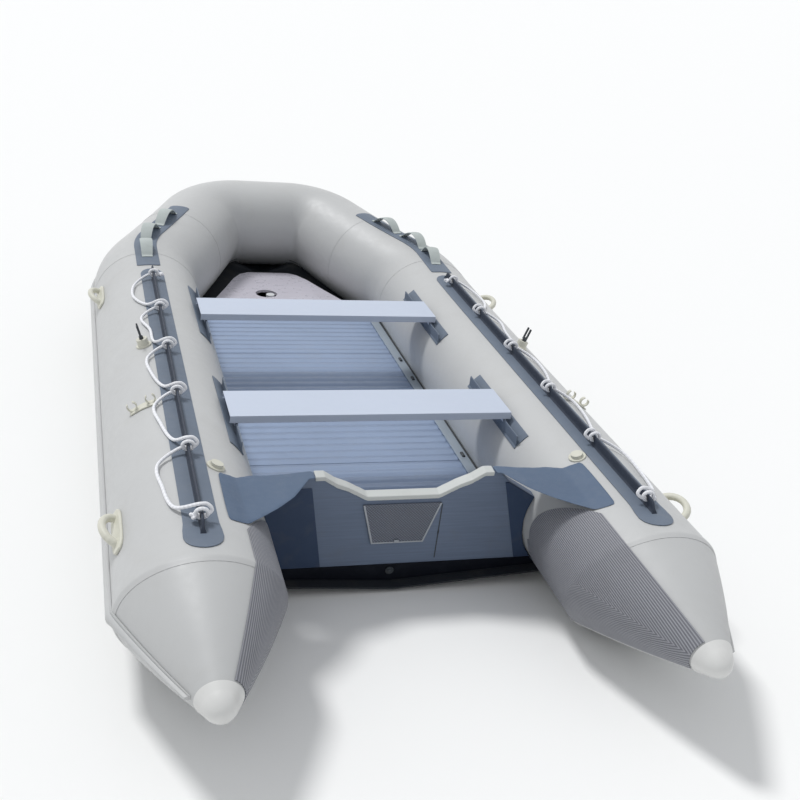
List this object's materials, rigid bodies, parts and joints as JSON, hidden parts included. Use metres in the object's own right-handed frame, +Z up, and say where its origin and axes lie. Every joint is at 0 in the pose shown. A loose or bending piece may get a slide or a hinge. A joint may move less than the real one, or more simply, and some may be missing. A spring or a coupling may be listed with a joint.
{
  "type": "inflatable boat",
  "caption": "Inflatable boat with twin side tubes, raised polygonal bow, stern cones, hard transom, ribbed aluminium floor and sliding seats.",
  "frame": {"origin": "centre of the bounding box at the underside of the tubes, where the boat rests", "axes": "+Z up, +Y towards the bow, +X to starboard"},
  "size_m": [1.8558, 4.0926, 0.5645],
  "materials": {
    "pvc_grey": "satin",
    "pvc_slate": "matte",
    "pvc_black": "matte",
    "rubber_light": "satin",
    "board_slate": "matte",
    "plastic_cream": "satin",
    "plastic_dark": "matte",
    "aluminium": "brushed",
    "aluminium_pale": "satin",
    "board_pale": "satin",
    "rope_white": "matte"
  },
  "bodies": {
    "hull": {"bow_board": "board_pale", "bow_tube": "pvc_grey", "drain_valve": "plastic_dark", "floor_panel_1": "aluminium", "floor_panel_2": "aluminium", "floor_panel_3": "aluminium", "floor_panel_4": "aluminium", "hull_bottom": "pvc_black", "keel_tube": "pvc_black", "keel_valve": "plastic_cream", "motor_plate_inner": "plastic_dark", "motor_plate_outer": "plastic_dark", "port_bow_tube": "pvc_grey", "port_carry_handle": "pvc_slate", "port_cone": "pvc_grey", "port_cone_cap": "rubber_light", "port_floor_stringer": "aluminium", "port_handle_aft": "rubber_light", "port_handle_forward": "rubber_light", "port_lifeline": "rope_white", "port_oar_clip": "rubber_light", "port_oarlock_base": "rubber_light", "port_rail_aft": "pvc_slate", "port_rail_forward": "pvc_slate", "port_rope_strip": "pvc_slate", "port_rub_strake": "pvc_grey", "port_transom_flap": "pvc_slate", "port_transom_holder": "pvc_slate", "port_tube": "pvc_grey", "port_valve": "plastic_cream", "port_wear_patch": "plastic_dark", "starboard_bow_tube": "pvc_grey", "starboard_carry_handle": "pvc_slate", "starboard_cone": "pvc_grey", "starboard_cone_cap": "rubber_light", "starboard_floor_stringer": "aluminium", "starboard_handle_aft": "rubber_light", "starboard_handle_forward": "rubber_light", "starboard_lifeline": "rope_white", "starboard_oar_clip": "rubber_light", "starboard_oarlock_base": "rubber_light", "starboard_rail_aft": "pvc_slate", "starboard_rail_forward": "pvc_slate", "starboard_rope_strip": "pvc_slate", "starboard_rub_strake": "pvc_grey", "starboard_transom_flap": "pvc_slate", "starboard_transom_holder": "pvc_slate", "starboard_tube": "pvc_grey", "starboard_valve": "plastic_cream", "starboard_wear_patch": "plastic_dark", "transom_band": "pvc_black", "transom_board": "board_slate", "transom_trim": "plastic_cream"},
    "thwart_forward": {"thwart_forward": "aluminium_pale"},
    "thwart_aft": {"thwart_aft": "aluminium_pale"},
    "port_oarlock": {"port_oarlock_pin": "aluminium"},
    "starboard_oarlock": {"starboard_oarlock_pin": "aluminium"}
  },
  "joints": [
    {"name": "forward_seat_slide", "type": "slide", "parent": "hull", "child": "thwart_forward", "axis": [0, 1, 0], "range_m": [-0.1, 0.19]},
    {"name": "aft_seat_slide", "type": "slide", "parent": "hull", "child": "thwart_aft", "axis": [0, 1, 0], "range_m": [-0.12, 0.165]},
    {"name": "port_oarlock_swivel", "type": "hinge", "parent": "hull", "child": "port_oarlock", "pos_m": [-0.665, -0.22325, 0.235], "axis": [-0.3303, 0, 0.9439], "continuous": true},
    {"name": "starboard_oarlock_swivel", "type": "hinge", "parent": "hull", "child": "starboard_oarlock", "pos_m": [0.665, -0.22325, 0.235], "axis": [0.3303, 0, 0.9439], "continuous": true}
  ]
}
